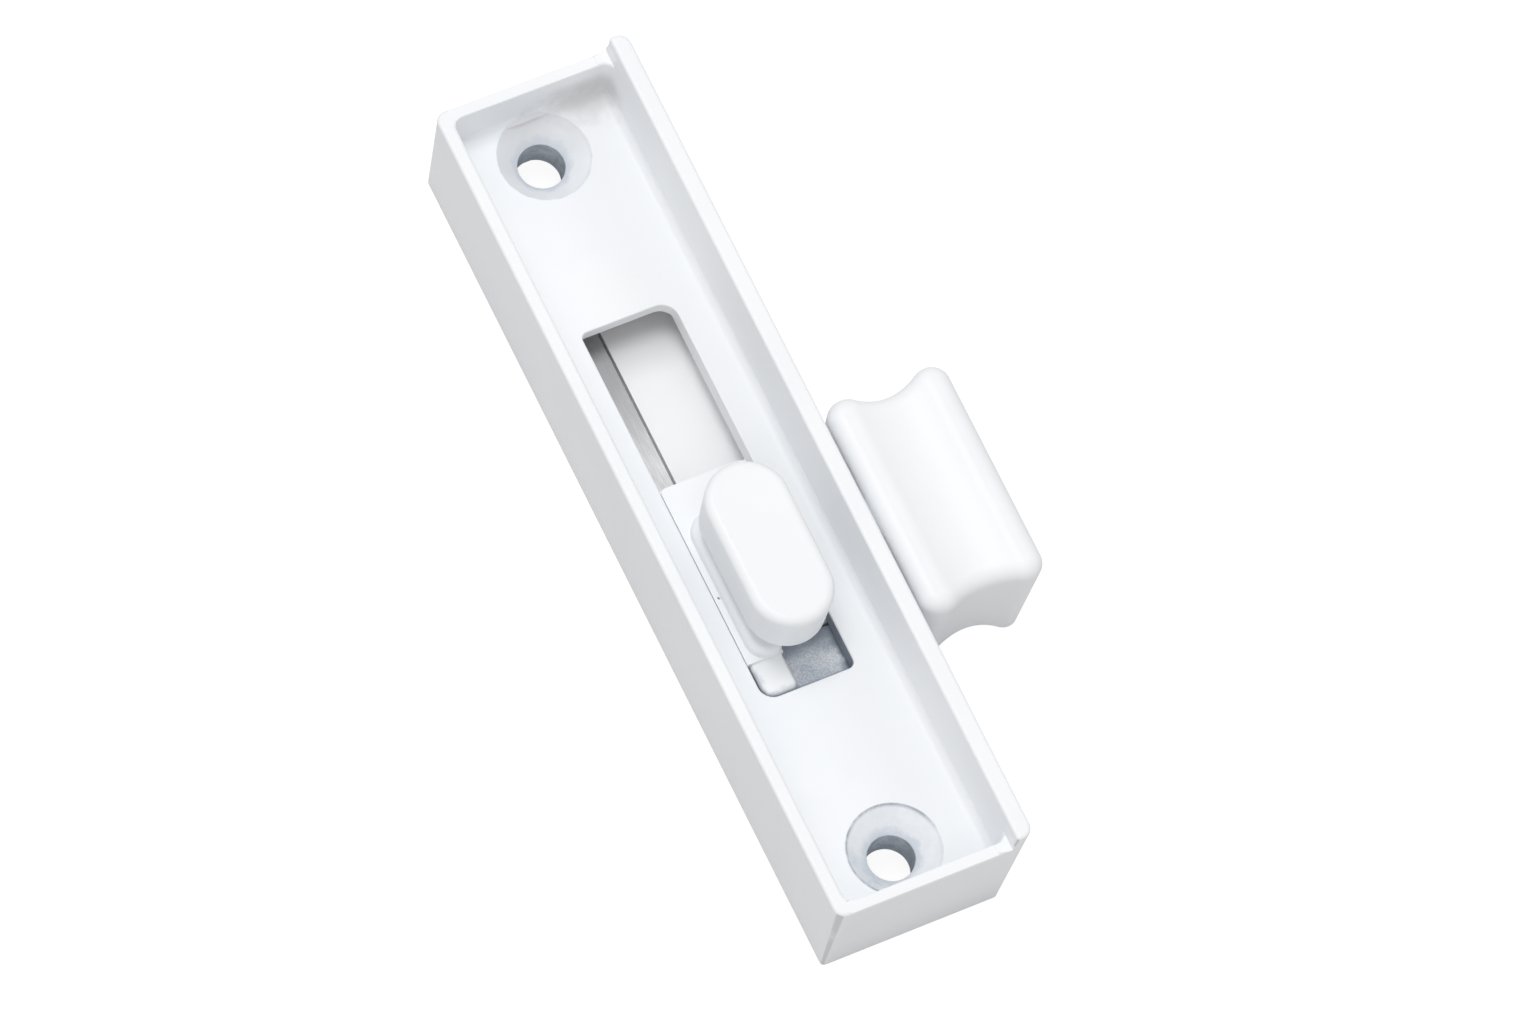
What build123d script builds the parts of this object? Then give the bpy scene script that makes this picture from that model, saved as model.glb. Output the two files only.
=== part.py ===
from build123d import *
import math
import os

os.makedirs("parts", exist_ok=True)

# Slide catch for a sliding door. Millimetres. X runs across the housing towards the finger grip,
# Y along the housing and Z out of the tray. The origin is on the back plane, midway between the holes.

# Housing, outside
housing_length = 93.8
housing_width = 21.0
left_face = -10.05
rim_height = 14.5
tall_wall_rise = 2.7
draft_angle = 2.7
corner_radius = 0.5
rim_edge_radius = 0.35

# Tray
floor_top = 9.1
floor_thickness = 1.5
left_rim_width = 1.5
end_rim_width = 1.3
end_rim_drop = 0.12
tall_wall_thickness = 1.9
tray_draft = 1.5
tray_corner_radius = 1.0
tray_floor_radius = 0.7
wall_cove_radius = 0.9
rim_sweep_radius = 1.5

# Screw holes in the tray floor
hole_spacing = 81.2
hole_radius = 2.45
sink_radius = 4.83
boss_radius = 5.3
boss_foot = 3.1

# Slot in the tray floor, with one radius for each corner
slot_width = 10.1
slot_length = 42.9
near_left_radius = 1.6
near_right_radius = 0.8
far_right_radius = 1.8
far_left_radius = 0.7
slot_edge_radius = 0.15
slot_rib_width = 1.2
slot_rib_depth = 0.6

# Cavity under the floor
cavity_left_wall = 2.3
cavity_right_wall = 2.6
cavity_length = 65.8
cross_wall = 3.2
end_pocket_length = 8.1
cavity_corner_radius = 1.5

# Back plate and its screws
plate_recess = 0.8
plate_thickness = 1.2
plate_gap = 0.1
plate_screw_inset = 2.1
plate_screw_length = 5.2

# Travel and running clearances
travel = 18.0
end_gap = 0.35
side_gap = 0.05
run_gap = 0.15

# Slide carriage
slot_plate_length = 18.1
slot_plate_sink = 0.04
slot_plate_near_radius = 0.3
heel_length = 2.3
tongue_width = 3.65
tongue_side_gap = 0.35
tongue_sink = 0.5
tongue_thickness = 1.6
tongue_edge_radius = 0.45
carriage_foot = 4.7
carriage_reach = 0.2
carriage_overrun = 0.4
carriage_flange = 1.6
carriage_corner_radius = 1.0

# Catch lug
lug_from_slot_end = 12.2
head_width = 8.8
head_length = 18.6
head_thickness = 6.0
head_draft = 1.6
head_top_radius = 0.9
head_foot_radius = 0.3
neck_width = 5.6
neck_length = 12.4
neck_height = 1.9
collar_width = 8.7
collar_length = 16.5
collar_height = 1.35
collar_corner_radius = 2.2
collar_heel_radius = 0.9
collar_top_radius = 0.8
lug_screw_inset = 2.1
lug_screw_length = 7.6

# Finger grip, with its web and the tenon that enters the carriage
grip_length = 24.8
grip_gap = 0.95
grip_width = 13.7
grip_foot = 0.7
grip_top = 16.0
grip_inner_land = 2.95
grip_outer_land = 2.65
grip_inner_corner = 2.2
grip_outer_corner = 2.0
grip_end_dish = 1.15
grip_end_shoulder = 2.0
grip_top_dish = 0.9
grip_foot_dish = 1.2
grip_dish_shoulder = 2.5
grip_top_radius = 1.6
grip_foot_radius = 1.0
web_width = 4.4
web_top = 14.0
web_gap = 0.35
web_edge_radius = 0.5
tenon_thickness = 1.8
tenon_lift = 0.15
tenon_past_centre = 1.5
tenon_fit = 0.05
window_gap = 0.3
grip_screw_pitch = 3.2
grip_screw_length = 3.7

# Liner and runner strip
liner_top = 4.4
liner_start = 1.6
liner_gap = 0.25
liner_past_slot = 1.1
liner_end_gap = 0.5
strip_width = 3.9
strip_thickness = 1.0
strip_under_floor = 0.8
strip_length = 56.0
strip_gap = 0.3
rivet_inset = 2.5
liner_screw_inset = 2.2

# Stop block beside the near end of the runner strip
stop_top = 6.6
stop_gap = 0.3
stop_side_gap = 0.2
stop_edge_radius = 0.3
stop_screw_inset = 3.2
stop_screw_length = 4.4

# Bow spring
spring_width = 2.6
spring_length = 12.0
spring_thickness = 0.3
spring_gap = 0.08
spring_pocket_depth = 1.2
spring_pocket_gap = 0.2

# Fasteners
screw_radius = 0.9
screw_head_radius = 1.5
plate_screw_head_radius = 1.7
fine_screw_radius = 0.8
fine_screw_head_radius = 1.3
fastener_fit = 0.02
head_land = 0.15
drive_width = 0.45
drive_depth = 0.55

# Places worked out from the sizes above
draft_slope = math.tan(math.radians(draft_angle))
tray_slope = math.tan(math.radians(tray_draft))
right_face = left_face + housing_width
housing_centre = left_face + housing_width / 2
half_length = housing_length / 2
base_inset = rim_height * draft_slope
floor_under = floor_top - floor_thickness
tall_wall_height = rim_height + tall_wall_rise
tray_depth = rim_height - floor_top
tray_left = left_face + left_rim_width + tray_depth * tray_slope
tray_end = half_length - end_rim_width - tray_depth * tray_slope
wall_inner_top = right_face + (tall_wall_height - rim_height) * draft_slope - tall_wall_thickness
tray_right = wall_inner_top - (tall_wall_height - floor_top) * tray_slope
hole_places = (-hole_spacing / 2, hole_spacing / 2)
slot_half = slot_width / 2
slot_end = slot_length / 2
cavity_left = left_face + base_inset + cavity_left_wall
cavity_right = right_face - base_inset - cavity_right_wall
cavity_end = cavity_length / 2
recess_end = cavity_end + cross_wall
plate_top = plate_recess + plate_thickness
plate_screw_rows = (cavity_left + plate_screw_inset, cavity_right - plate_screw_inset)
plate_screw_place = cavity_end + cross_wall / 2
carriage_top = floor_under - run_gap
slot_plate_top = floor_top - slot_plate_sink
slot_plate_far = slot_end - end_gap - travel
slot_plate_near = slot_plate_far - slot_plate_length
slot_plate_half = slot_half - side_gap
tongue_left = tongue_side_gap - slot_half
tongue_right = tongue_left + tongue_width
carriage_near = slot_plate_near - carriage_reach
carriage_far = slot_plate_far + carriage_overrun
carriage_half = slot_half + carriage_flange
lug_centre = lug_from_slot_end - slot_end
collar_top = slot_plate_top + collar_height
collar_near = lug_centre - collar_length / 2
collar_far = lug_centre + collar_length / 2
head_foot = collar_top + neck_height
near_lug_screw = carriage_near + lug_screw_inset
lug_screws = (near_lug_screw, 2 * lug_centre - near_lug_screw)
grip_inner = right_face + grip_gap
grip_outer = grip_inner + grip_width
grip_centre = (grip_inner + grip_outer) / 2
dish_near = grip_inner + grip_inner_land
dish_far = grip_outer - grip_outer_land
dish_centre = (dish_near + dish_far) / 2
tenon_foot = carriage_foot + tenon_lift
tenon_top = tenon_foot + tenon_thickness
grip_screw_row = fine_screw_head_radius - tenon_past_centre / 2
grip_screws = (grip_screw_row, grip_screw_row + grip_screw_pitch)
strip_left = -slot_half - strip_under_floor
strip_right = strip_left + strip_width
strip_centre = (strip_left + strip_right) / 2
strip_foot = liner_top - strip_thickness
liner_step = strip_right + strip_gap
liner_left = cavity_left + liner_gap
liner_right = slot_half + liner_past_slot
liner_end = cavity_end - liner_end_gap
rivet_place = strip_length / 2 - rivet_inset
near_liner_screw = (strip_centre, liner_screw_inset - liner_end)
far_liner_screw = ((liner_step + liner_right) / 2, liner_end - liner_screw_inset - liner_end_gap)
stop_left = liner_step + stop_side_gap
stop_right = cavity_right - stop_side_gap
stop_near = stop_gap - cavity_end
stop_far = carriage_near - stop_gap
stop_middle = (stop_left + stop_right) / 2
stop_screws = (stop_near + stop_screw_inset, stop_far - stop_screw_inset)
spring_roof = carriage_foot + spring_pocket_depth
spring_centre = (carriage_near + carriage_far) / 2


def block(left, right, near, far, foot, top):
    middle = Pos((left + right) / 2, (near + far) / 2, (foot + top) / 2)
    return middle * Box(right - left, far - near, top - foot)


def raised(outline, x, y, foot, top, taper=0.0):
    return Pos(x, y, foot) * extrude(outline, amount=top - foot, taper=taper)


def pin(x, y, radius, foot, top):
    return Pos(x, y, (foot + top) / 2) * Cylinder(radius, top - foot)


# Countersunk screw that points up, with its head flush at the height foot
def screw(x, y, foot, length, radius, head_radius):
    cone_top = head_land + head_radius - radius
    outline = Polyline(
        (0, 0),
        (head_radius, 0),
        (head_radius, head_land),
        (radius, cone_top),
        (radius, length - radius / 2),
        (radius / 2, length),
        (0, length),
        close=True,
    )
    body = revolve(make_face(Plane.XZ * outline), Axis.Z)
    for turn in (0, 90):
        body -= Rot(0, 0, turn) * block(
            -head_radius * 0.6, head_radius * 0.6, -drive_width / 2, drive_width / 2, -1, drive_depth
        )
    return Pos(x, y, foot) * body


# The hole that such a screw fills, open below its head
def screw_hole(x, y, foot, length, radius, head_radius):
    hole = pin(x, y, radius + fastener_fit, foot, foot + length + 0.2)
    cone_top = foot + head_land + head_radius - radius
    sink = Pos(x, y, (foot + head_land + cone_top) / 2) * Cone(
        head_radius + fastener_fit, radius + fastener_fit, cone_top - foot - head_land
    )
    land = pin(x, y, head_radius + fastener_fit, foot - 1, foot + head_land)
    return hole + sink + land


# The same shapes turned over, for a screw or rivet that points down from the height top
def turned_over(shape, x, y, top):
    return Pos(x, y, top) * Rot(180, 0, 0) * shape


# Outline with a radius of its own at each corner: near left, near right, far right, far left
def four_corner(left, right, near, far, radii):
    path = FilletPolyline(
        (left, near), (right, near), (right, far), (left, far), radius=list(radii), close=True
    )
    return make_face(path)


# Housing: one casting, drafted outside, with the tray above and the cavity below
def make_housing():
    base = RectangleRounded(housing_width - 2 * base_inset, housing_length - 2 * base_inset, corner_radius)
    body = raised(base, housing_centre, 0, 0, tall_wall_height, taper=-draft_angle)

    # The space over the low rim sweeps up to the tall wall
    over = tall_wall_height + 3
    wall_at_rim = tray_right + tray_depth * tray_slope
    wall_over = tray_right + (over - floor_top) * tray_slope
    sweep_line = FilletPolyline(
        (left_face - 3, rim_height), (wall_at_rim, rim_height), (wall_over, over), radius=rim_sweep_radius
    )
    closing = Polyline((wall_over, over), (left_face - 3, over), (left_face - 3, rim_height))
    body -= extrude(make_face(Plane.XZ * (sweep_line + closing)), amount=housing_length, both=True)
    top_edges = body.edges().filter_by(lambda edge: edge.bounding_box().min.Z > rim_height - 0.1)
    body = fillet(top_edges, rim_edge_radius)

    # Tray, with a cove along the foot of the tall wall
    tray_outline = RectangleRounded(tray_right - tray_left, 2 * tray_end, tray_corner_radius)
    tray = raised(tray_outline, (tray_left + tray_right) / 2, 0, floor_top, over, taper=-tray_draft)
    tray = fillet(tray.edges().group_by(Axis.Z)[0], tray_floor_radius)
    body -= tray
    cove_line = Polyline(
        (tray_right - wall_cove_radius, floor_top),
        (tray_right - wall_cove_radius, floor_top - 0.5),
        (tray_right + 0.6, floor_top - 0.5),
        (tray_right + 0.6, floor_top + wall_cove_radius),
        (tray_right, floor_top + wall_cove_radius),
    )
    cove_arc = RadiusArc(
        (tray_right, floor_top + wall_cove_radius),
        (tray_right - wall_cove_radius, floor_top),
        wall_cove_radius,
    )
    body += extrude(make_face(Plane.XZ * (cove_line + cove_arc)), amount=tray_end + 0.3, both=True)

    # Rounded mouth of the tray along the low rims, and the step down to the end rims
    mouth = raised(tray_outline, (tray_left + tray_right) / 2, 0, floor_top, rim_height, taper=-tray_draft)
    mouth += block(
        left_face - 2, right_face + 2, -half_length - 2, half_length + 2, rim_height, rim_height + 1
    )
    lips = mouth.edges().filter_by(lambda edge: abs(edge.center().X) < housing_width / 2 + 0.5)
    lips = lips.filter_by(lambda edge: abs(edge.center().Y) < half_length).filter_by_position(
        Axis.Z, rim_height - 0.01, rim_height + 0.01
    )
    mouth = fillet(lips, rim_edge_radius)
    body -= mouth & block(
        left_face - 3, wall_at_rim, -half_length - 3, half_length + 3, floor_top + 1, rim_height + 2
    )
    for side in (-1, 1):
        ends = sorted((side * tray_end, side * (half_length + 1)))
        body -= block(
            left_face + left_rim_width, wall_at_rim - rim_sweep_radius, ends[0], ends[1],
            rim_height - end_rim_drop, rim_height + 1,
        )

    # Cavity, seat of the back plate and the pocket round each screw boss
    cavity_middle = (cavity_left + cavity_right) / 2
    cavity_width = cavity_right - cavity_left
    cavity = RectangleRounded(cavity_width, cavity_length, cavity_corner_radius)
    recess = RectangleRounded(cavity_width, 2 * recess_end, cavity_corner_radius)
    body -= raised(cavity, cavity_middle, 0, -1, floor_under)
    body -= raised(recess, cavity_middle, 0, -1, plate_top)
    for side, hole_y in zip((-1, 1), hole_places):
        pocket = RectangleRounded(cavity_width, end_pocket_length, cavity_corner_radius)
        pocket_y = side * (recess_end + end_pocket_length / 2)
        hollow = raised(pocket, cavity_middle, pocket_y, -1, floor_under)
        hollow -= pin(0, hole_y, boss_radius, boss_foot, floor_under + 1)
        body -= hollow

    # Slot with a guide rib below its right side
    slot = four_corner(
        -slot_half, slot_half, -slot_end, slot_end,
        (near_left_radius, near_right_radius, far_right_radius, far_left_radius),
    )
    body += block(
        slot_half, slot_half + slot_rib_width, -slot_end, slot_end,
        floor_under - slot_rib_depth, floor_under,
    )
    body -= raised(slot, 0, 0, plate_top, floor_top + 1)
    brims = body.edges().filter_by_position(Axis.Z, floor_top - 0.01, floor_top + 0.01)
    brims = brims.filter_by_position(Axis.X, -slot_half - 0.1, slot_half + 0.1)
    brims = brims.filter_by_position(Axis.Y, -slot_end - 0.1, slot_end + 0.1)
    return fillet(brims, slot_edge_radius)


# Countersunk fixing holes, window for the grip's neck and the back plate's screw holes
def drill_housing(body):
    for hole_y in hole_places:
        body -= pin(0, hole_y, hole_radius, 0, floor_top + 1)
        sink_depth = sink_radius - hole_radius
        body -= Pos(0, hole_y, floor_top - sink_depth / 2) * Cone(hole_radius, sink_radius, sink_depth)
    body -= block(
        cavity_right - 1, right_face + 1,
        lug_centre - web_width / 2 - window_gap, lug_centre + web_width / 2 + travel + window_gap,
        tenon_foot - window_gap, tenon_top + window_gap,
    )
    for x in plate_screw_rows:
        for side in (-1, 1):
            thread_end = plate_recess + plate_screw_length + 0.3
            body -= pin(x, side * plate_screw_place, screw_radius + fastener_fit, 0, thread_end)
    return body


def make_back_plate():
    width = cavity_right - cavity_left - 2 * plate_gap
    outline = RectangleRounded(width, 2 * (recess_end - plate_gap), cavity_corner_radius)
    plate = raised(outline, (cavity_left + cavity_right) / 2, 0, plate_recess, plate_top)
    for x in plate_screw_rows:
        for side in (-1, 1):
            plate -= screw_hole(
                x, side * plate_screw_place, plate_recess, plate_screw_length,
                screw_radius, plate_screw_head_radius,
            )
    for x, y in (near_liner_screw, far_liner_screw):
        plate -= pin(x, y, screw_radius + fastener_fit, 0, plate_top + 1)
    for y in stop_screws:
        plate -= screw_hole(
            stop_middle, y, plate_recess, stop_screw_length, screw_radius, screw_head_radius
        )
    return plate


# Zinc block that the carriage stops against, seen beside the tongue
def make_stop_block():
    stop = block(stop_left, stop_right, stop_near, stop_far, plate_top, stop_top)
    stop = fillet(stop.edges().filter_by(Axis.Z).sort_by(Axis.Y)[0:2], cavity_corner_radius)
    stop = fillet(stop.edges().group_by(Axis.Z)[-1], stop_edge_radius)
    for y in stop_screws:
        stop -= pin(stop_middle, y, screw_radius + fastener_fit, 0, plate_recess + stop_screw_length + 0.2)
    return stop


# White moulded liner: a ledge for the runner strip and a smooth floor below the far part of the slot
def make_guide_liner():
    liner = block(liner_left, liner_step, -liner_end, liner_end, plate_top, strip_foot)
    liner += block(liner_left, strip_left - side_gap, -liner_end, liner_end, strip_foot, liner_top)
    liner += block(liner_step, liner_right, liner_start, liner_end, plate_top, liner_top)
    upright = liner.edges().filter_by(Axis.Z)
    liner = fillet(upright.group_by(Axis.X)[-1] + upright.group_by(Axis.X)[0], cavity_corner_radius)
    screw_length = liner_top - plate_recess
    far_hole = screw_hole(0, 0, 0, screw_length, screw_radius, screw_head_radius)
    liner -= turned_over(far_hole, *far_liner_screw, liner_top)
    liner -= turned_over(far_hole, *near_liner_screw, strip_foot)
    for side in (-1, 1):
        rivet_hole = fine_screw_radius + fastener_fit
        liner -= pin(strip_centre, side * rivet_place, rivet_hole, plate_top - 1, liner_top)
    return liner


def make_runner_strip():
    outline = RectangleRounded(strip_width, strip_length, 0.4)
    strip = raised(outline, strip_centre, 0, strip_foot, liner_top)
    hole = screw_hole(0, 0, 0, strip_thickness + 1, fine_screw_radius, fine_screw_head_radius)
    for side in (-1, 1):
        strip -= turned_over(hole, strip_centre, side * rivet_place, liner_top)
    return strip


# Flush rivet through the strip and the liner's ledge, with a plain shank
def make_rivet(y):
    length = liner_top - plate_top
    cone_top = head_land + fine_screw_head_radius - fine_screw_radius
    outline = Polyline(
        (0, 0),
        (fine_screw_head_radius, 0),
        (fine_screw_head_radius, head_land),
        (fine_screw_radius, cone_top),
        (fine_screw_radius, length),
        (0, length),
        close=True,
    )
    return turned_over(revolve(make_face(Plane.XZ * outline), Axis.Z), strip_centre, y, liner_top)


# Carriage: the plate that fills the slot, the tongue beside it and the body that runs under the floor
def make_slide_carriage():
    plate_outline = four_corner(
        -slot_plate_half, slot_plate_half, slot_plate_near, slot_plate_far,
        (
            slot_plate_near_radius, slot_plate_near_radius,
            far_right_radius - side_gap, far_left_radius - side_gap,
        ),
    )
    carriage = raised(plate_outline, 0, 0, carriage_top - 0.5, slot_plate_top)
    carriage += block(
        -slot_plate_half, tongue_right, slot_plate_near - heel_length, slot_plate_near + 1,
        carriage_top - 0.5, slot_plate_top,
    )
    tongue_near = end_gap - slot_end
    tongue_outline = four_corner(
        tongue_left, tongue_right, tongue_near, slot_plate_near + 1.5,
        (near_left_radius - tongue_side_gap / 2, 0.6, 0.3, 0.3),
    )
    tongue_top = floor_top - tongue_sink
    tongue = raised(tongue_outline, 0, 0, tongue_top - tongue_thickness, tongue_top)
    tongue = fillet(tongue.edges().group_by(Axis.Z)[-1], tongue_edge_radius)
    carriage += tongue
    body_outline = RectangleRounded(2 * carriage_half, carriage_far - carriage_near, carriage_corner_radius)
    body = raised(body_outline, 0, (carriage_near + carriage_far) / 2, carriage_foot, carriage_top)
    body -= block(
        slot_plate_half, carriage_half + 1, carriage_near - 1, carriage_far + 1,
        floor_under - slot_rib_depth - run_gap, floor_under + 1,
    )
    carriage += body

    # Seat of the grip's tenon, pocket of the bow spring and screw holes, all open below
    carriage -= block(
        -tenon_past_centre - tenon_fit, carriage_half + 1,
        lug_centre - web_width / 2 - tenon_fit, lug_centre + web_width / 2 + tenon_fit,
        carriage_foot - 1, tenon_top,
    )
    half_width = spring_width / 2 + spring_pocket_gap
    half_reach = spring_length / 2 + spring_pocket_gap
    carriage -= block(
        strip_centre - half_width, strip_centre + half_width,
        spring_centre - half_reach, spring_centre + half_reach,
        carriage_foot - 1, spring_roof,
    )
    for y in lug_screws:
        carriage -= screw_hole(0, y, carriage_foot, lug_screw_length, screw_radius, screw_head_radius)
    for x in grip_screws:
        thread_end = tenon_foot + grip_screw_length + 0.1
        carriage -= pin(x, lug_centre, fine_screw_radius + fastener_fit, tenon_foot, thread_end)
    return carriage


# Lug: collar on the plate, narrower neck and the oval head that hooks behind the keeper
def make_catch_lug():
    half = collar_width / 2
    outline = four_corner(
        -half, half, slot_plate_near, collar_far,
        (0.1, collar_heel_radius, collar_corner_radius, collar_corner_radius),
    )
    outline += four_corner(
        -half, tongue_right, collar_near, lug_centre,
        (collar_corner_radius, collar_heel_radius, 0.1, 0.1),
    )
    collar = raised(outline, 0, 0, slot_plate_top, collar_top)
    collar = fillet(collar.edges().group_by(Axis.Z)[-1], collar_top_radius)
    neck_outline = SlotOverall(neck_length, neck_width, rotation=90)
    neck = raised(neck_outline, 0, lug_centre, collar_top - 0.1, head_foot + 0.1)
    narrowing = 2 * head_thickness * math.tan(math.radians(head_draft))
    head_outline = SlotOverall(head_length - narrowing, head_width - narrowing, rotation=90)
    head = raised(head_outline, 0, lug_centre, head_foot, head_foot + head_thickness, taper=-head_draft)
    head = fillet(head.edges().group_by(Axis.Z)[-1], head_top_radius)
    head = fillet(head.edges().group_by(Axis.Z)[0], head_foot_radius)
    lug = collar + neck + head
    for y in lug_screws:
        thread_end = carriage_foot + lug_screw_length + 0.2
        lug -= pin(0, y, screw_radius + fastener_fit, slot_plate_top - 1, thread_end)
    return lug


# Radius of an arc from its chord and its depth
def arc_radius(chord, depth):
    return (chord * chord / 4 + depth * depth) / (2 * depth)


# Finger grip: a drafted bar along Y with scooped ends and a shallow dish along its top
def make_finger_grip():
    half = grip_length / 2
    end_radius = arc_radius(dish_far - dish_near, grip_end_dish)
    outline = Pos(grip_centre, 0) * Rectangle(grip_width, grip_length)
    for side in (-1, 1):
        outline -= Pos(dish_centre, side * (half - grip_end_dish + end_radius)) * Circle(end_radius)
    outline = fillet(outline.vertices().group_by(Axis.X)[0], grip_inner_corner)
    outline = fillet(outline.vertices().group_by(Axis.X)[-1], grip_outer_corner)
    for place in (dish_near, dish_far):
        shoulders = outline.vertices().filter_by_position(Axis.X, place - 0.05, place + 0.05)
        outline = fillet(shoulders, grip_end_shoulder)
    bar = Pos(0, lug_centre, grip_top) * extrude(outline, amount=grip_foot - grip_top, taper=draft_angle)

    chord = dish_far - dish_near
    dishes = (
        (grip_top, grip_top_dish, 1, grip_top_radius),
        (grip_foot, grip_foot_dish, -1, grip_foot_radius),
    )
    for height, depth, side, edge_radius in dishes:
        radius = arc_radius(chord, depth)
        dish = Rot(90, 0, 0) * Cylinder(radius, 3 * grip_length)
        bar -= Pos(dish_centre, lug_centre, height + side * (radius - depth)) * dish
        reach = sorted((height - side * (depth + 0.1), height + side * 0.1))
        brinks = bar.edges().filter_by_position(Axis.Z, *reach).filter_by(Axis.Y)
        brinks = brinks.filter_by_position(Axis.X, dish_near - 0.3, dish_far + 0.3)
        bar = fillet(brinks, grip_dish_shoulder)
    outward = grip_width / 2 - 1.2
    for height, depth, side, edge_radius in dishes:
        reach = sorted((height - side * (depth + 0.1), height + side * 0.1))
        rim = bar.edges().filter_by_position(Axis.Z, *reach).filter_by(
            lambda edge: abs((edge % 0.5).Y) < 0.99 or abs(edge.center().X - grip_centre) > outward
        )
        bar = fillet(rim, edge_radius)

    near = lug_centre - web_width / 2
    far = lug_centre + web_width / 2
    web = block(right_face + web_gap, grip_inner + 0.6, near, far, tenon_foot, web_top)
    web = fillet(web.edges().filter_by(Axis.X).group_by(Axis.Z)[-1], web_edge_radius)
    tenon = block(-tenon_past_centre, grip_inner + 0.6, near, far, tenon_foot, tenon_top)
    grip = bar + web + tenon
    for x in grip_screws:
        grip -= screw_hole(
            x, lug_centre, tenon_foot, grip_screw_length, fine_screw_radius, fine_screw_head_radius
        )
    return grip


# Bow spring: its ends bear on the roof of its pocket and its middle on the runner strip
def make_bow_spring():
    crest = liner_top + spring_gap
    half = spring_length / 2
    roof = spring_roof - fastener_fit
    upper = ThreePointArc((-half, roof), (0, crest + spring_thickness), (half, roof))
    lower = ThreePointArc((-half, roof - spring_thickness), (0, crest), (half, roof - spring_thickness))
    ends = Line((-half, roof), (-half, roof - spring_thickness))
    ends += Line((half, roof), (half, roof - spring_thickness))
    bow = extrude(make_face(Plane.YZ * (upper + lower + ends)), amount=spring_width / 2, both=True)
    return Pos(strip_centre, spring_centre, 0) * bow


nodes = {
    "housing": drill_housing(make_housing()),
    "back_plate": make_back_plate(),
    "guide_liner": make_guide_liner(),
    "stop_block": make_stop_block(),
    "runner_strip": make_runner_strip(),
    "slide_carriage": make_slide_carriage(),
    "catch_lug": make_catch_lug(),
    "finger_grip": make_finger_grip(),
    "bow_spring": make_bow_spring(),
}
plate_screw_places = [(x, side * plate_screw_place) for side in (-1, 1) for x in plate_screw_rows]
for number, (x, y) in enumerate(plate_screw_places, start=1):
    nodes[f"back_plate_screw_{number}"] = screw(
        x, y, plate_recess, plate_screw_length, screw_radius, plate_screw_head_radius
    )
for number, y in enumerate(stop_screws, start=1):
    nodes[f"stop_screw_{number}"] = screw(
        stop_middle, y, plate_recess, stop_screw_length, screw_radius, screw_head_radius
    )
for number, y in enumerate(lug_screws, start=1):
    nodes[f"lug_screw_{number}"] = screw(
        0, y, carriage_foot, lug_screw_length, screw_radius, screw_head_radius
    )
for number, x in enumerate(grip_screws, start=1):
    nodes[f"grip_screw_{number}"] = screw(
        x, lug_centre, tenon_foot, grip_screw_length, fine_screw_radius, fine_screw_head_radius
    )
for number, side in enumerate((-1, 1), start=1):
    nodes[f"runner_rivet_{number}"] = make_rivet(side * rivet_place)
liner_screw_heads = ((near_liner_screw, strip_foot), (far_liner_screw, liner_top))
for number, (place, top) in enumerate(liner_screw_heads, start=1):
    upright = screw(0, 0, 0, top - plate_recess, screw_radius, screw_head_radius)
    nodes[f"liner_screw_{number}"] = turned_over(upright, *place, top)

for name, shape in nodes.items():
    export_step(shape, f"parts/{name}.step")
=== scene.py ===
import bpy
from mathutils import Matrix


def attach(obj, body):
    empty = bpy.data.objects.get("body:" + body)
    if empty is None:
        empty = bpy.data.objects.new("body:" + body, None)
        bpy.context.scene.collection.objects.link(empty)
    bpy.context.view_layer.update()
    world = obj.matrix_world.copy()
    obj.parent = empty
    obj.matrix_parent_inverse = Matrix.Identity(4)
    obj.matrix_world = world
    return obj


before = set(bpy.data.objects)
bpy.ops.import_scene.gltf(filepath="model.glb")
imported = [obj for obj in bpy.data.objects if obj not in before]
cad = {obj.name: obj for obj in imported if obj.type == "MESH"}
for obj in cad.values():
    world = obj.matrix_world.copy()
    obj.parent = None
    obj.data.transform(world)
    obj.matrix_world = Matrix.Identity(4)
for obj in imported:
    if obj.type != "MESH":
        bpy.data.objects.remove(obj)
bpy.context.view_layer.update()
mm = 0.001

print("frame loaded")


# small helpers for the materials' node trees
def newMaterial(name):
    mat = bpy.data.materials.new(name)
    mat.use_nodes = True
    tree = mat.node_tree
    tree.nodes.clear()
    out = tree.nodes.new("ShaderNodeOutputMaterial")
    shader = tree.nodes.new("ShaderNodeBsdfPrincipled")
    tree.links.new(shader.outputs["BSDF"], out.inputs["Surface"])
    return mat, tree, shader


def place(tree, kind, **inputs):
    node = tree.nodes.new(kind)
    for key, value in inputs.items():
        node.inputs[key].default_value = value
    return node


def pieceCoords(tree, kind="Object"):
    return tree.nodes.new("ShaderNodeTexCoord").outputs[kind]


def axes(tree, vector):
    split = tree.nodes.new("ShaderNodeSeparateXYZ")
    tree.links.new(vector, split.inputs[0])
    return split.outputs


def mathNode(tree, operation, *values):
    node = tree.nodes.new("ShaderNodeMath")
    node.operation = operation
    for slot, value in zip(node.inputs, values):
        if isinstance(value, (int, float)):
            slot.default_value = value
        else:
            tree.links.new(value, slot)
    return node.outputs[0]


def total(tree, a, b):
    return mathNode(tree, "ADD", a, b)


def minus(tree, a, b):
    return mathNode(tree, "SUBTRACT", a, b)


def product(tree, *values):
    result = values[0]
    for value in values[1:]:
        result = mathNode(tree, "MULTIPLY", result, value)
    return result


def hypotenuse(tree, a, b):
    return mathNode(tree, "SQRT", total(tree, product(tree, a, a), product(tree, b, b)))


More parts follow.
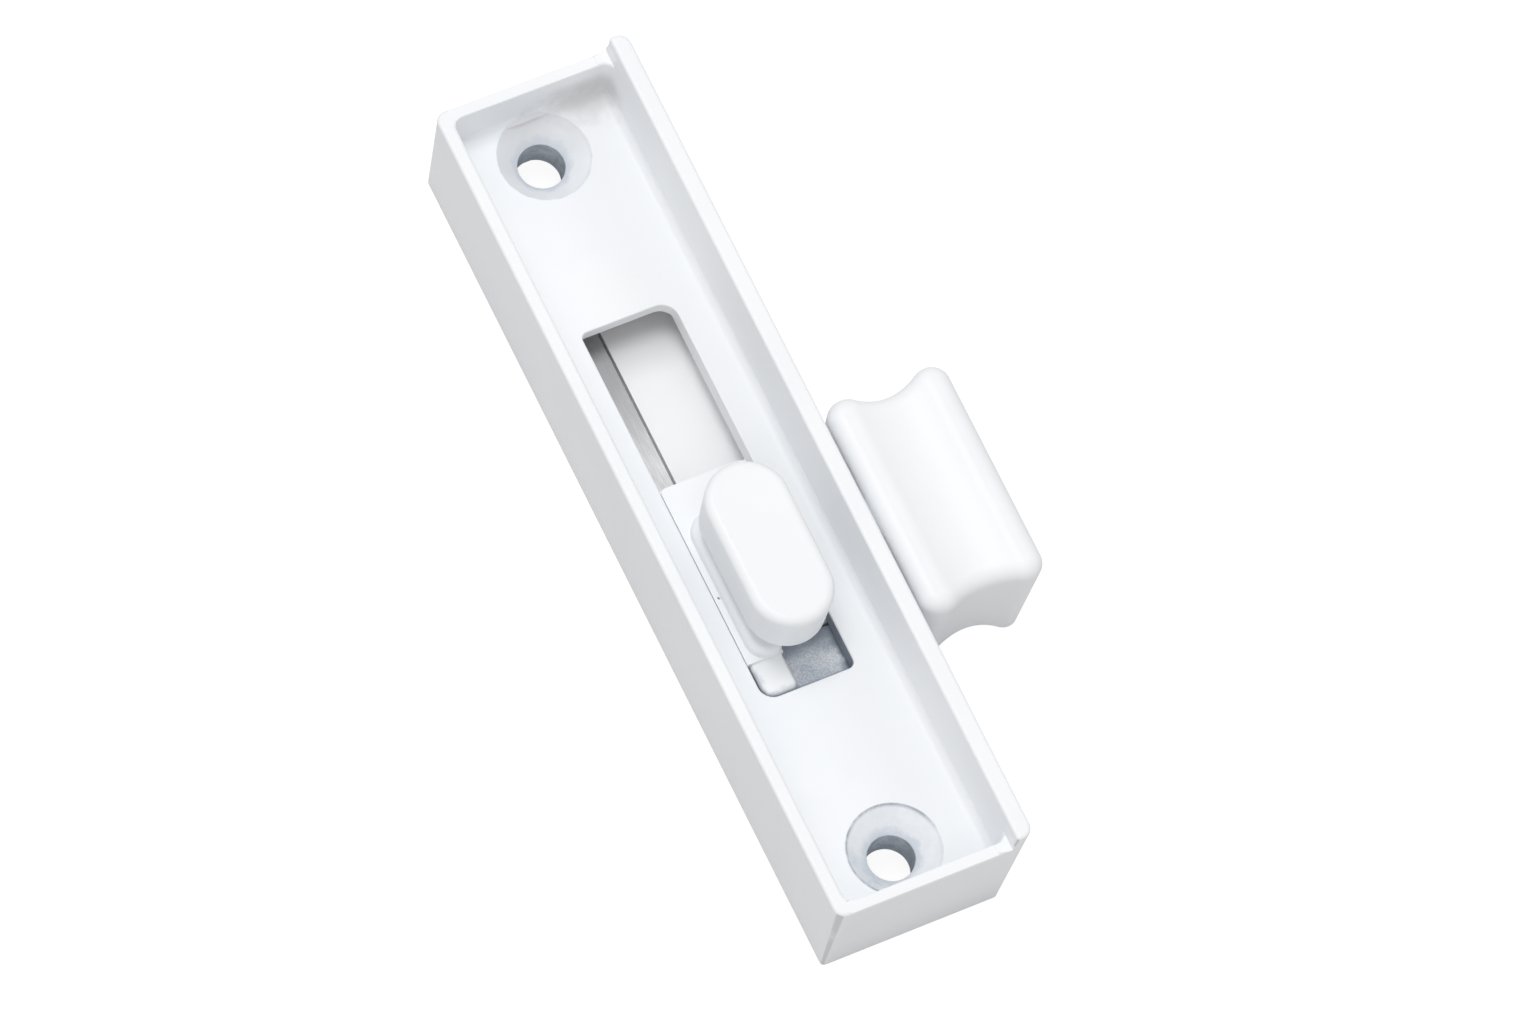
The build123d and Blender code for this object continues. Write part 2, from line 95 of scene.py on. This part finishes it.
# smooth step from nothing at low to one at high, and the other way where low is the larger
def ramp(tree, value, low, high):
    node = tree.nodes.new("ShaderNodeMapRange")
    node.interpolation_type = "SMOOTHSTEP"
    node.inputs["From Min"].default_value = low
    node.inputs["From Max"].default_value = high
    tree.links.new(value, node.inputs["Value"])
    return node.outputs["Result"]


# a border's wander to both sides of its line, by a mottle that is a half on average
def ragged(tree, mottle, reach):
    return product(tree, minus(tree, mottle, 0.5), reach)


# one on a circle's line, fading inwards over the width and outwards over half of it
def band(tree, radius, line, width):
    return product(tree, ramp(tree, radius, line - width, line),
                   ramp(tree, radius, line + width / 2, line))


def mixColour(tree, factor, a, b):
    node = tree.nodes.new("ShaderNodeMix")
    node.data_type = "RGBA"
    for slot, value in ((node.inputs[0], factor), (node.inputs[6], a), (node.inputs[7], b)):
        if isinstance(value, bpy.types.NodeSocket):
            tree.links.new(value, slot)
        else:
            slot.default_value = (*value, 1.0)
    return node.outputs[2]


def noise(tree, coords, scale, detail, roughness=0.5, stretch=None):
    node = place(tree, "ShaderNodeTexNoise", Scale=scale, Detail=detail, Roughness=roughness)
    if stretch:
        squeeze = place(tree, "ShaderNodeMapping", Scale=stretch)
        tree.links.new(coords, squeeze.inputs["Vector"])
        coords = squeeze.outputs["Vector"]
    tree.links.new(coords, node.inputs["Vector"])
    return node.outputs["Fac"]


def bump(tree, shader, height, distance, under=None):
    node = place(tree, "ShaderNodeBump", Strength=1.0, Distance=distance)
    tree.links.new(height, node.inputs["Height"])
    if under:
        tree.links.new(under, node.inputs["Normal"])
    tree.links.new(node.outputs["Normal"], shader.inputs["Normal"])
    return node.outputs["Normal"]


# roughness that rises with a grain
def roughen(tree, shader, grain, spread, least):
    rough = mathNode(tree, "MULTIPLY_ADD", grain, spread, least)
    tree.links.new(rough, shader.inputs["Roughness"])


def paint(tree, shader, colour):
    tree.links.new(colour, shader.inputs["Base Color"])


# painted shade: greys a colour towards the far end of the slot, under the slot's far edge
def shadeFarEnd(tree, coords, colour, look):
    y = axes(tree, coords)[1]
    farDarkening = product(tree, ramp(tree, y, look["farShadeFrom"], look["farShadeTo"]), look["farShadeShare"])
    return mixColour(tree, farDarkening, colour, look["farShade"])


# white powder coat of the housing, the lug and the grip; scales are per metre
coatLook = {
    "pale": (0.92, 0.935, 0.95),
    "deep": (0.895, 0.915, 0.935),
    "roughness": 0.45,
    "roughSpread": 0.05,
    "ior": 1.48,
    "cloudScale": 70.0,
    "cloudRange": (0.35, 0.65),
    "peelScale": 900.0,             # fine orange peel
    "peelDepth": 0.006 * mm,
    "waveScale": 120.0,             # slow unevenness of a cast face under the coat
    "waveDepth": 0.03 * mm,
    "seedStep": (0.37, 0.11, 0.23),
}


def makeCoat(name, look, seed):
    mat, tree, shader = newMaterial(name)
    coords = pieceCoords(tree)
    shift = place(tree, "ShaderNodeMapping", Location=[seed * step for step in look["seedStep"]])
    tree.links.new(coords, shift.inputs["Vector"])
    at = shift.outputs["Vector"]
    clouds = ramp(tree, noise(tree, at, look["cloudScale"], detail=3.0), *look["cloudRange"])
    colour = mixColour(tree, clouds, look["deep"], look["pale"])
    peel = noise(tree, at, look["peelScale"], detail=2.0)
    wave = noise(tree, at, look["waveScale"], detail=1.0)
    waved = bump(tree, shader, wave, look["waveDepth"])
    bump(tree, shader, peel, look["peelDepth"], under=waved)
    roughen(tree, shader, clouds, look["roughSpread"], look["roughness"])
    shader.inputs["IOR"].default_value = look["ior"]
    return mat, tree, shader, coords, colour


def makePlainCoat(name, look, seed):
    mat, tree, shader, coords, colour = makeCoat(name, look, seed)
    paint(tree, shader, colour)
    return mat


# wear and painted shade of the housing's coat: tray, screw sinks, the slot's near end and one outer
# corner
housingWearAndShade = {
    "mottleScale": 650.0,
    "mottleDetail": 5.0,
    "mottleRoughness": 0.65,
    "patchRange": (0.4, 0.62),

    "wallFootShade": (0.85, 0.865, 0.88),            # painted shade, faint, on the floor beside the tall wall's foot
    "wallFootAcross": (-3.0 * mm, 5.0 * mm),
    "wallFootTop": (9.6 * mm, 9.2 * mm),
    "wallFootUnder": (8.8 * mm, 9.0 * mm),
    "wallFootEnds": (46.0 * mm, 45.6 * mm),
    "trayRight": (9.6 * mm, 9.2 * mm),

    "farDarkening": (0.50, 0.495, 0.495),              # darker in the tray's far right corner
    "cornerAt": (7.0 * mm, 44.6 * mm),
    "cornerReach": (7.0 * mm, 3.2 * mm),
    "cornerFade": (1.15, 0.1),
    "cornerRagged": 1.1,
    "cornerEnd": (46.1 * mm, 45.8 * mm),
    "cornerTop": (13.5 * mm, 11.0 * mm),
    "cornerUnder": (8.0 * mm, 8.6 * mm),
    "cornerShare": 0.5,

    "holeSpacing": 81.2 * mm,
    "bareRadius": 2.55 * mm,
    "bareSoft": 0.1 * mm,
    "bareMetal": 0.4,
    "steel": (0.62, 0.665, 0.72),
    "paleSteel": (0.80, 0.855, 0.915),
    "thin": (0.66, 0.705, 0.765),               # worn coat round the bore and on the brink
    "haloRadius": 3.45 * mm,
    "haloRagged": 2.0 * mm,
    "haloShare": 0.85,
    "rimRadius": 4.85 * mm,
    "ringWidth": 0.16 * mm,
    "ringShare": 0.75,
    "coneShare": 0.24,
    "coneEven": 0.4,                            # the part of the cone's tone without patches
    # the far sink's cone keeps only this part of the worn tone, painted paler to stand in for the
    # light on it
    "farConeShare": 0.6,

    "nearHalf": (-1.0 * mm, -2.0 * mm),
    "farHalf": (1.0 * mm, 2.0 * mm),
    "farSinkShade": (0.66, 0.66, 0.67),              # painted shade on the far sink's outer side
    "farSinkShadeAlong": (-2.0 * mm, 1.0 * mm),
    "farSinkShadeShare": 0.38,
    "smear": (0.60, 0.65, 0.71),                # rubbed side of the near sink
    "smearLean": (0.8, 0.6),
    "smearRange": (1.0 * mm, 3.0 * mm),
    "smearShare": 0.8,
    "nearRing": (0.30, 0.335, 0.39),            # dirt round the near sink's brink
    "nearRingWidth": 0.3 * mm,
    "nearRingLean": 0.6,
    "nearRingRange": (3.2 * mm, 1.0 * mm),
    "nearRingShare": 0.85,
    "nearEven": 0.5,                            # the part of the near sink's wear without patches

    "slotWallShade": (0.22, 0.25, 0.30),            # painted shade on the walls at the near end of the slot
    "slotWallTop": (8.95 * mm, 8.7 * mm),
    "slotWallFace": (4.75 * mm, 4.95 * mm),
    "slotWallBack": (5.5 * mm, 5.3 * mm),
    "slotShadeStart": (-12.5 * mm, -15.5 * mm),
    "slotShadeEnd": (-24.0 * mm, -23.0 * mm),

    "edgeStain": (0.50, 0.50, 0.505),           # stain down the upright corner at the near end
    "edgeFacing": (0.3, 0.48),
    "edgeAlong": (-45.5 * mm, -46.0 * mm),
    "edgePatchScale": 210.0,
    "edgePatchRange": (0.1, 0.45),
    "edgeStainShare": 0.6,
}


def darkenTray(tree, spot, mottle, colour, marks):
    x, y, z = spot
    tray = ramp(tree, x, *marks["trayRight"])
    # painted shade on the floor along the foot of the tall wall
    footShade = product(tree, ramp(tree, x, *marks["wallFootAcross"]),
                   ramp(tree, z, *marks["wallFootTop"]), ramp(tree, z, *marks["wallFootUnder"]),
                   tray, ramp(tree, mathNode(tree, "ABSOLUTE", y), *marks["wallFootEnds"]))
    colour = mixColour(tree, footShade, colour, marks["wallFootShade"])

    # the floor and lower walls grow darker towards the tray's far right corner
    offsets = [mathNode(tree, "DIVIDE", minus(tree, axis, middle), reach)
               for axis, middle, reach in zip((x, y), marks["cornerAt"], marks["cornerReach"])]
    away = total(tree, hypotenuse(tree, *offsets), ragged(tree, mottle, marks["cornerRagged"]))
    farDarkening = product(tree, ramp(tree, away, *marks["cornerFade"]), ramp(tree, y, *marks["cornerEnd"]),
                    ramp(tree, z, *marks["cornerTop"]), ramp(tree, z, *marks["cornerUnder"]),
                    tray, marks["cornerShare"])
    return mixColour(tree, farDarkening, colour, marks["farDarkening"])


# both sinks' wear, with painted light and shade on the far sink's cone, by the distance from the
# screw's axis and in places by the side too
def wearAndShadeSinks(tree, spot, mottle, patches, colour, marks):
    x, y = spot[:2]
    rim = marks["rimRadius"]
    along = minus(tree, mathNode(tree, "ABSOLUTE", y), marks["holeSpacing"] / 2)
    radius = hypotenuse(tree, x, along)
    cone = ramp(tree, radius, rim, rim - marks["ringWidth"])
    near = ramp(tree, y, *marks["nearHalf"])

    # painted shade on the far sink's outer side
    farSinkShade = product(tree, cone, ramp(tree, y, *marks["farHalf"]),
                      ramp(tree, along, *marks["farSinkShadeAlong"]), marks["farSinkShadeShare"])
    colour = mixColour(tree, farSinkShade, colour, marks["farSinkShade"])

    wander = total(tree, radius, ragged(tree, mottle, marks["haloRagged"]))
    halo = ramp(tree, wander, marks["haloRadius"], marks["bareRadius"])
    ring = product(tree, band(tree, radius, rim, marks["ringWidth"]), patches)
    coneEven = marks["coneEven"]
    conePatches = total(tree, product(tree, patches, 1 - coneEven), coneEven)
    # worn tone on the cones, weakened on the far sink as painted light
    coneTone = product(tree, cone, conePatches,
                       mathNode(tree, "MAXIMUM", near, marks["farConeShare"]), marks["coneShare"])
    thin = mathNode(tree, "MAXIMUM", product(tree, halo, marks["haloShare"]),
                    product(tree, ring, marks["ringShare"]))
    colour = mixColour(tree, mathNode(tree, "MAXIMUM", thin, coneTone), colour, marks["thin"])

    # the near sink is rubbed on its left and near side, and dirt stands round its brink
    nearEven = marks["nearEven"]
    nearPatches = total(tree, product(tree, patches, 1 - nearEven), nearEven)
    leanAcross, leanAlong = marks["smearLean"]
    rubbedSide = minus(tree, product(tree, along, leanAlong), product(tree, x, leanAcross))
    smear = product(tree, ramp(tree, rubbedSide, *marks["smearRange"]), cone, near, nearPatches,
                    marks["smearShare"])
    colour = mixColour(tree, smear, colour, marks["smear"])
    paleSide = product(tree, total(tree, x, along), marks["nearRingLean"])
    dirtRing = product(tree, band(tree, radius, rim, marks["nearRingWidth"]),
                       ramp(tree, paleSide, *marks["nearRingRange"]), near, nearPatches,
                       marks["nearRingShare"])
    colour = mixColour(tree, dirtRing, colour, marks["nearRing"])

    bare = ramp(tree, radius, marks["bareRadius"], marks["bareRadius"] - marks["bareSoft"])
    steel = mixColour(tree, patches, marks["steel"], marks["paleSteel"])
    return mixColour(tree, bare, colour, steel), bare


def shadeSlotWalls(tree, spot, colour, marks):
    x, y, z = spot
    side = mathNode(tree, "ABSOLUTE", x)
    # painted shade on the slot's walls below the floor, at its near end
    walls = product(tree, ramp(tree, z, *marks["slotWallTop"]),
                    ramp(tree, side, *marks["slotWallFace"]), ramp(tree, side, *marks["slotWallBack"]),
                    ramp(tree, y, *marks["slotShadeStart"]), ramp(tree, y, *marks["slotShadeEnd"]))
    return mixColour(tree, walls, colour, marks["slotWallShade"])


def stainCorner(tree, spot, coords, colour, marks):
    across, along = axes(tree, pieceCoords(tree, "Normal"))[:2]
    streaks = noise(tree, coords, marks["edgePatchScale"], detail=3.0)
    corner = product(tree, ramp(tree, product(tree, across, along), *marks["edgeFacing"]),
                     ramp(tree, spot[1], *marks["edgeAlong"]),
                     ramp(tree, streaks, *marks["edgePatchRange"]), marks["edgeStainShare"])
    return mixColour(tree, corner, colour, marks["edgeStain"])


def makeHousingCoat(name, look, marks, seed):
    mat, tree, shader, coords, colour = makeCoat(name, look, seed)
    spot = axes(tree, coords)
    mottle = noise(tree, coords, marks["mottleScale"], marks["mottleDetail"], marks["mottleRoughness"])
    patches = ramp(tree, mottle, *marks["patchRange"])
    colour = darkenTray(tree, spot, mottle, colour, marks)
    colour, bare = wearAndShadeSinks(tree, spot, mottle, patches, colour, marks)
    colour = shadeSlotWalls(tree, spot, colour, marks)
    colour = stainCorner(tree, spot, coords, colour, marks)
    paint(tree, shader, colour)
    tree.links.new(product(tree, bare, marks["bareMetal"]), shader.inputs["Metallic"])
    return mat


# a paler coat than the housing's: painted light on the carriage, whose plate and tongue lie in the
# lug's shade
litCarriageLook = {**coatLook, "pale": (0.945, 0.96, 0.97), "deep": (0.925, 0.94, 0.955)}
# rubbed bluish along the left and near edges of the tongue
tongueWear = {
    "left": -4.7 * mm,
    "near": -21.1 * mm,
    "reach": 0.75 * mm,
    "ragged": 1.2 * mm,
    "along": (-17.6 * mm, -18.4 * mm),
    "mottleScale": 1100.0,
    "mottleDetail": 4.0,
    "mottleRoughness": 0.6,
    "rubbed": (0.55, 0.60, 0.67),
    "share": 0.7,
}


def makeCarriageCoat(name, look, marks, seed):
    mat, tree, shader, coords, colour = makeCoat(name, look, seed)
    x, y = axes(tree, coords)[:2]
    mottle = noise(tree, coords, marks["mottleScale"], marks["mottleDetail"], marks["mottleRoughness"])
    inset = mathNode(tree, "MINIMUM", minus(tree, x, marks["left"]), minus(tree, y, marks["near"]))
    wander = total(tree, inset, ragged(tree, mottle, marks["ragged"]))
    rubbed = product(tree, ramp(tree, wander, marks["reach"], 0.0),
                     ramp(tree, y, *marks["along"]), marks["share"])
    paint(tree, shader, mixColour(tree, rubbed, colour, marks["rubbed"]))
    return mat


# smooth moulded plastic below the slot's far part, whiter and flatter than the coat
linerLook = {
    **coatLook,
    "pale": (0.95, 0.955, 0.965),
    "deep": (0.935, 0.94, 0.95),
    "roughness": 0.5,
    "peelScale": 1800.0,
    "peelDepth": 0.004 * mm,
    "waveScale": 60.0,
    "waveDepth": 0.02 * mm,
    "cloudScale": 40.0,
    # painted shade towards the far end, under the slot's far edge
    "farShade": (0.52, 0.52, 0.535),
    "farShadeFrom": 15.5 * mm,
    "farShadeTo": 20.5 * mm,
    "farShadeShare": 0.55,
}


def makeLiner(name, look, seed):
    mat, tree, shader, coords, colour = makeCoat(name, look, seed)
    paint(tree, shader, shadeFarEnd(tree, coords, colour, look))
    return mat


# zinc plating of the back plate and the stop block
zincLook = {
    "pale": (0.93, 0.965, 1.0),
    "dark": (0.56, 0.62, 0.70),
    # painted shade along the block's edges in the slot
    "tone": (0.27, 0.31, 0.37),
    "metal": 0.1,
    "roughness": 0.42,
    "roughSpread": 0.15,
    "mottleScale": 420.0,
    "mottleDetail": 6.0,
    "mottleRoughness": 0.62,
    "mottleRange": (0.36, 0.64),
    "grainScale": 5200.0,
    "grainRange": (0.38, 0.62),
    "grainShare": 0.55,
    "grainDepth": 0.015 * mm,
}
# where the block shows in the slot: painted shade gathers along these edges
blockEdges = {
    "left": -1.3 * mm,
    "right": 5.2 * mm,
    "sideReach": 0.9 * mm,
    "far": -16.0 * mm,
    "farReach": 2.4 * mm,
    "near": -20.8 * mm,
    "nearReach": 0.4 * mm,
    "ragged": 1.5 * mm,
}


# one where the block is lit, nothing along its edges where the painted shade lies
def litPart(tree, coords, mottle, edges):
    x, y = axes(tree, coords)[:2]
    wobble = ragged(tree, mottle, edges["ragged"])
    sideInset = mathNode(tree, "MINIMUM", minus(tree, x, edges["left"]),
                         minus(tree, edges["right"], x))
    farInset = minus(tree, edges["far"], y)
    side = ramp(tree, total(tree, sideInset, wobble), 0.0, edges["sideReach"])
    end = ramp(tree, total(tree, farInset, wobble), 0.0, edges["farReach"])
    brink = ramp(tree, minus(tree, y, edges["near"]), 0.0, edges["nearReach"])
    return product(tree, side, end, brink)


def makeZinc(name, look, edges=None):
    mat, tree, shader = newMaterial(name)
    coords = pieceCoords(tree)
    mottle = noise(tree, coords, look["mottleScale"], look["mottleDetail"], look["mottleRoughness"])
    grain = noise(tree, coords, look["grainScale"], detail=2.0)
    share = look["grainShare"]
    blend = total(tree, product(tree, ramp(tree, mottle, *look["mottleRange"]), 1 - share),
                  product(tree, ramp(tree, grain, *look["grainRange"]), share))
    colour = mixColour(tree, blend, look["dark"], look["pale"])
    if edges:
        # painted shade along the block's edges, under the slot's walls and floor
        lit = litPart(tree, coords, mottle, edges)
        colour = mixColour(tree, lit, look["tone"], colour)
    paint(tree, shader, colour)
    shader.inputs["Metallic"].default_value = look["metal"]
    roughen(tree, shader, grain, look["roughSpread"], look["roughness"])
    bump(tree, shader, grain, look["grainDepth"])
    return mat


# bare steel: the strip, its rivets, the bow spring and the screws
steelLook = {
    "metal": 0.75,
    "roughSpread": 0.18,
    "grainDetail": 5.0,
    "grainRoughness": 0.6,
    "grainDepth": 0.01 * mm,
    "stainScale": 260.0,
    "stainShare": 0.3,
    "blendRange": (0.3, 0.7),
}
rivetLook = {
    **steelLook,
    "pale": (0.76, 0.76, 0.77),
    "dark": (0.52, 0.52, 0.53),
    "roughness": 0.36,
    "grainScale": 60.0,
    "grainStretch": (240.0, 9.0, 240.0),    # fine across, longer along Y
    # painted shade towards the far end, under the slot's far edge
    "farShade": (0.30, 0.30, 0.31),
    "farShadeFrom": 6.0 * mm,
    "farShadeTo": 19.0 * mm,
    "farShadeShare": 0.8,
}
stripLook = {**rivetLook, "metal": 0.35}
springLook = {
    **steelLook,
    "pale": (0.42, 0.43, 0.46),
    "dark": (0.2, 0.21, 0.23),
    "roughness": 0.3,
    "grainScale": 90.0,
    "grainStretch": (30.0, 1.0, 30.0),
}
screwLook = {
    **steelLook,
    "pale": (0.62, 0.63, 0.65),
    "dark": (0.42, 0.43, 0.46),
    "roughness": 0.32,
    "grainScale": 700.0,
    "grainStretch": (1.0, 1.0, 0.3),
}


def makeSteel(name, look):
    mat, tree, shader = newMaterial(name)
    coords = pieceCoords(tree)
    grain = noise(tree, coords, look["grainScale"], look["grainDetail"], look["grainRoughness"],
                  look["grainStretch"])
    tone = noise(tree, coords, look["stainScale"], detail=4.0)
    blend = total(tree, product(tree, grain, 1 - look["stainShare"]),
                  product(tree, tone, look["stainShare"]))
    colour = mixColour(tree, ramp(tree, blend, *look["blendRange"]), look["dark"], look["pale"])
    # painted shade at the far end, where the look gives it
    if "farShade" in look:
        colour = shadeFarEnd(tree, coords, colour, look)
    paint(tree, shader, colour)
    shader.inputs["Metallic"].default_value = look["metal"]
    roughen(tree, shader, grain, look["roughSpread"], look["roughness"])
    bump(tree, shader, grain, look["grainDepth"])
    return mat


finishes = {
    "housing": makeHousingCoat("housingCoat", coatLook, housingWearAndShade, 0),
    "catch_lug": makePlainCoat("lugCoat", coatLook, 1),
    "finger_grip": makePlainCoat("gripCoat", coatLook, 2),
    "slide_carriage": makeCarriageCoat("carriageCoat", litCarriageLook, tongueWear, 3),
    "guide_liner": makeLiner("linerPlastic", linerLook, 4),
    "back_plate": makeZinc("zincPlate", zincLook),
    "stop_block": makeZinc("zincBlock", zincLook, blockEdges),
    "runner_strip": makeSteel("brushedStrip", stripLook),
    "bow_spring": makeSteel("springSteel", springLook),
}
rivetSteel = makeSteel("rivetSteel", rivetLook)
screwSteel = makeSteel("screwSteel", screwLook)
for name, node in cad.items():
    steel = rivetSteel if name.startswith("runner_rivet") else screwSteel
    node.data.materials.clear()
    node.data.materials.append(finishes.get(name, steel))
    for face in node.data.polygons:
        face.material_index = 0
print("materials set")


# one dark speck in the coat, on the plate beside the lug's collar
speckLook = {
    "at": (-4.55 * mm, -9.7 * mm, 9.06 * mm),
    "size": (0.10 * mm, 0.16 * mm, 0.03 * mm),
    "turn": 0.5,
    "segments": 20,
    "rings": 10,
    "dark": (0.22, 0.22, 0.23),
    "pale": (0.42, 0.42, 0.43),
    "gritScale": 9000.0,
    "roughness": 0.8,
}


def makeSpeck(look):
    mat, tree, shader = newMaterial("speckDirt")
    grit = noise(tree, pieceCoords(tree), look["gritScale"], detail=3.0)
    paint(tree, shader, mixColour(tree, grit, look["dark"], look["pale"]))
    shader.inputs["Roughness"].default_value = look["roughness"]
    bpy.ops.mesh.primitive_uv_sphere_add(
        segments=look["segments"], ring_count=look["rings"], radius=1.0, location=look["at"])
    speck = bpy.context.object
    speck.name = "coatSpeck"
    speck.scale = look["size"]
    speck.rotation_euler = (0, 0, look["turn"])
    bpy.ops.object.transform_apply(location=False, rotation=True, scale=True)
    bpy.ops.object.shade_smooth()
    speck.data.materials.append(mat)
    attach(speck, "slide_body")


makeSpeck(speckLook)
print("speck made")


# pale floor that the camera sees as paper white, with the shadow kept
floorLook = {
    "half": 3.0,
    "height": -0.02 * mm,
    "colour": (0.68, 0.685, 0.69),
    "roughness": 0.9,
    "specular": 0.1,
    "shine": 0.92,
    "share": 0.22,
}


def makeFloor(look):
    bpy.ops.mesh.primitive_plane_add(size=2 * look["half"], location=(0, 0, look["height"]))
    floor = bpy.context.object
    floor.name = "paleFloor"
    mat, tree, shader = newMaterial("floorPaper")
    shader.inputs["Base Color"].default_value = (*look["colour"], 1)
    shader.inputs["Roughness"].default_value = look["roughness"]
    shader.inputs["Specular IOR Level"].default_value = look["specular"]
    shaded = place(tree, "ShaderNodeBsdfDiffuse", Color=(look["share"],) * 3 + (1,))
    glow = place(tree, "ShaderNodeEmission", Strength=look["shine"])
    seen = tree.nodes.new("ShaderNodeAddShader")
    tree.links.new(shaded.outputs[0], seen.inputs[0])
    tree.links.new(glow.outputs[0], seen.inputs[1])
    pick = tree.nodes.new("ShaderNodeMixShader")
    rays = tree.nodes.new("ShaderNodeLightPath")
    tree.links.new(rays.outputs["Is Camera Ray"], pick.inputs["Fac"])
    tree.links.new(shader.outputs[0], pick.inputs[1])
    tree.links.new(seen.outputs[0], pick.inputs[2])
    tree.links.new(pick.outputs[0], tree.nodes["Material Output"].inputs["Surface"])
    floor.data.materials.append(mat)


makeFloor(floorLook)

# a soft key overhead, a weak fill from the near left and pale surroundings
lights = {
    "softKey": {
        "at": (-0.1, 0.25, 1.03), "size": 0.42, "watts": 4.0, "colour": (0.975, 0.99, 1.0)},
    "softFill": {
        "at": (-0.42, -0.6, 0.95), "size": 0.6, "watts": 1.65, "colour": (1.0, 0.99, 0.985)},
}
for name, look in lights.items():
    data = bpy.data.lights.new(name, "AREA")
    data.shape = "SQUARE"
    data.size = look["size"]
    data.energy = look["watts"]
    data.color = look["colour"]
    lamp = bpy.data.objects.new(name, data)
    bpy.context.scene.collection.objects.link(lamp)
    lamp.location = look["at"]
    lamp.rotation_euler = (-lamp.location).to_track_quat("-Z", "Y").to_euler()

roomLook = {"colour": (1.0, 0.985, 0.985), "strength": 0.61}
world = bpy.data.worlds.new("paleRoom")
bpy.context.scene.world = world
world.use_nodes = True
room = world.node_tree.nodes["Background"]
room.inputs["Color"].default_value = (*roomLook["colour"], 1)
room.inputs["Strength"].default_value = roomLook["strength"]
print("floor and lights set")

# camera at the photo's angle
cameraLook = {
    "at": (-378.434 * mm, -419.893 * mm, 1210.671 * mm),
    "turn": (0.41984114, -0.13574445, -0.4482261),
    "lens": 313.526,
    "sensor": 36.0,
    "clip": (0.05, 20.0),
}
cameraData = bpy.data.cameras.new("photoCamera")
cameraData.lens = cameraLook["lens"]
cameraData.sensor_width = cameraLook["sensor"]
cameraData.clip_start, cameraData.clip_end = cameraLook["clip"]
camera = bpy.data.objects.new("photoCamera", cameraData)
bpy.context.scene.collection.objects.link(camera)
camera.location = cameraLook["at"]
camera.rotation_euler = cameraLook["turn"]
bpy.context.scene.camera = camera
bpy.context.scene.view_settings.view_transform = "Standard"
print("camera set")
